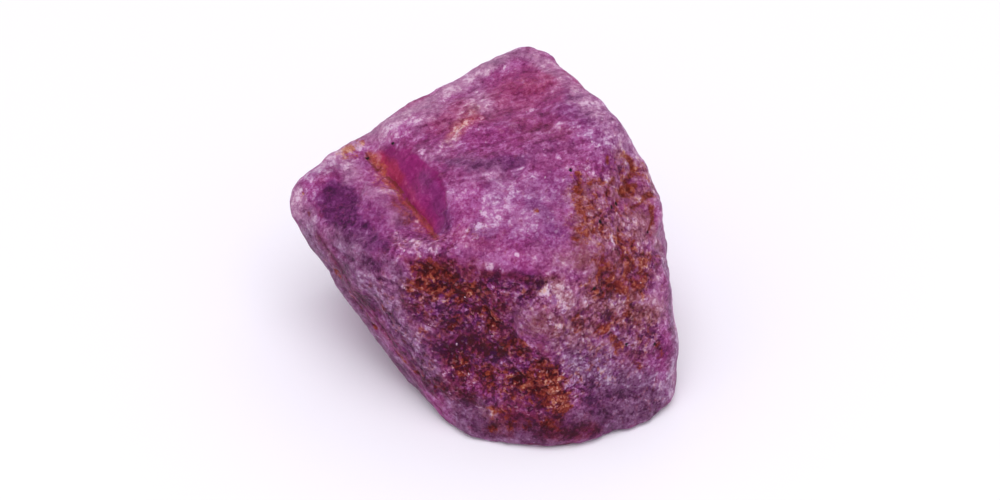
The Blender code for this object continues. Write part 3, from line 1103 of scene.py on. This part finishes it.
# Painted glints: the brightest grain cells of the frost get a near-white colour in place of a sparkle of light.
spark_share = times(ramp(fine_grain, 0.93, 1.0), added(times(frost_share, 0.35), times(grit_share, 0.1)))
mix = over(spark_share, mix, SPARK)
print("colours mixed in", len(tree.nodes), "nodes")

# %% Finish: colour, gloss, depth and grain
BUMP_SIZE = 0.08 * MM
tree.links.new(mix, shader.inputs["Base Color"])

rough = added(0.42, times(frost_share, 0.15), times(glass_share, -0.18), times(rust_share, 0.2))
tree.links.new(rough, shader.inputs["Roughness"])

grain_height = added(times(grain, 0.6), times(dust, 0.9), times(fine_grain, 0.5))
grain_height = math_node("MULTIPLY", grain_height, math_node("SUBTRACT", 1.1, glass_share))
bump = node("ShaderNodeBump", None, Height=grain_height, Strength=0.8, Distance=BUMP_SIZE)
tree.links.new(bump.outputs["Normal"], shader.inputs["Normal"])

shader.inputs["IOR"].default_value = 1.5
shader.inputs["Specular IOR Level"].default_value = 0.1
shader.inputs["Subsurface Weight"].default_value = 0.25
shader.inputs["Subsurface Radius"].default_value = (1.0, 0.35, 0.7)
shader.inputs["Subsurface Scale"].default_value = 0.3 * MM
shader.inputs["Sheen Weight"].default_value = 0.07
shader.inputs["Sheen Roughness"].default_value = 0.4
shader.inputs["Sheen Tint"].default_value = (0.95, 0.85, 0.93, 1)
stone_mesh.materials.append(ruby)

# %% [markdown]
# ## Bright flecks
# Tiny flat crystals and scales of mica lie all over the frosted parts, and more sit on the spots where the stone
# glints. Their pale colour partly stands in for that glint, as a painted highlight. Each is a small closed, slightly
# squashed crystal sunk half into the surface and turned at random, so that a few of them always catch the light.
# They are joined into one piece.

# %% Scatter the flecks
FLECK_COUNT = 40
FLECK_SIZES = (0.045, 0.1)
FLECK_SINK = 0.35
FLECK_SEED = 11
# Spots where the stone glints. The flecks set on them give painted highlights.
SPARKLES = (358, 150, 411, 240, 404, 289, 480, 210, 497, 215, 499, 219, 527, 112, 530, 111, 545, 177, 470, 115,
            475, 225, 489, 265, 501, 269, 542, 293, 557, 327, 583, 341, 545, 345, 455, 425, 640, 380, 625, 400,
            601, 119, 593, 141, 599, 145, 544, 149, 621, 296, 609, 241, 633, 221, 449, 373, 449, 393)

dice = random.Random(FLECK_SEED)
weights = np.clip(0.02 + 0.7 * grit + 0.1 * frost - glass, 0, None) * soft_step((moved[:, 2] - 0.4) / 0.5)
scattered = dice.choices(range(len(moved)), weights=weights.tolist(), k=FLECK_COUNT)
pictured = [int(np.argmin(np.linalg.norm(points - place, axis=1))) for place in seen(*SPARKLES)]
fleck_bm = bmesh.new()
for index in scattered + pictured:
    size = dice.uniform(*FLECK_SIZES)
    made = bmesh.ops.create_icosphere(fleck_bm, subdivisions=1, radius=size * MM)
    spin = Vector([dice.gauss(0, 1) for _ in range(3)]).to_track_quat("Z", "Y")
    wide, flat = dice.uniform(0.7, 1.5), dice.uniform(0.35, 0.7)
    centre = Vector(moved[index] - normals[index] * size * FLECK_SINK) * MM
    for vert in made["verts"]:
        vert.co = spin @ Vector((vert.co.x * wide, vert.co.y, vert.co.z * flat)) + centre
        vert.co.z = max(vert.co.z, 0)
fleck_mesh = bpy.data.meshes.new("ruby_flecks")
fleck_bm.to_mesh(fleck_mesh)
fleck_bm.free()
flecks = bpy.data.objects.new("ruby_flecks", fleck_mesh)
scene.collection.objects.link(flecks)
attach(flecks, "root")

mica_and_painted_glint = bpy.data.materials.new("mica_and_painted_glint")
mica_and_painted_glint.use_nodes = True
tree = mica_and_painted_glint.node_tree
shader = tree.nodes["Principled BSDF"]
object_place = node("ShaderNodeTexCoord").outputs["Object"]
place = node("ShaderNodeMapping", Vector=object_place, Scale=(1000, 1000, 1000)).outputs["Vector"]
# A pale colour, partly the flakes' own and partly a painted glint.
tint = ramp(cloud(1.7, 2), 0.35, 0.65)
tree.links.new(mix_colour(tint, colour(158, 112, 144), colour(218, 186, 206)), shader.inputs["Base Color"])
shader.inputs["Roughness"].default_value = 0.32
fleck_mesh.materials.append(mica_and_painted_glint)
print("flecks:", len(scattered + pictured), "in", len(fleck_mesh.polygons), "faces")
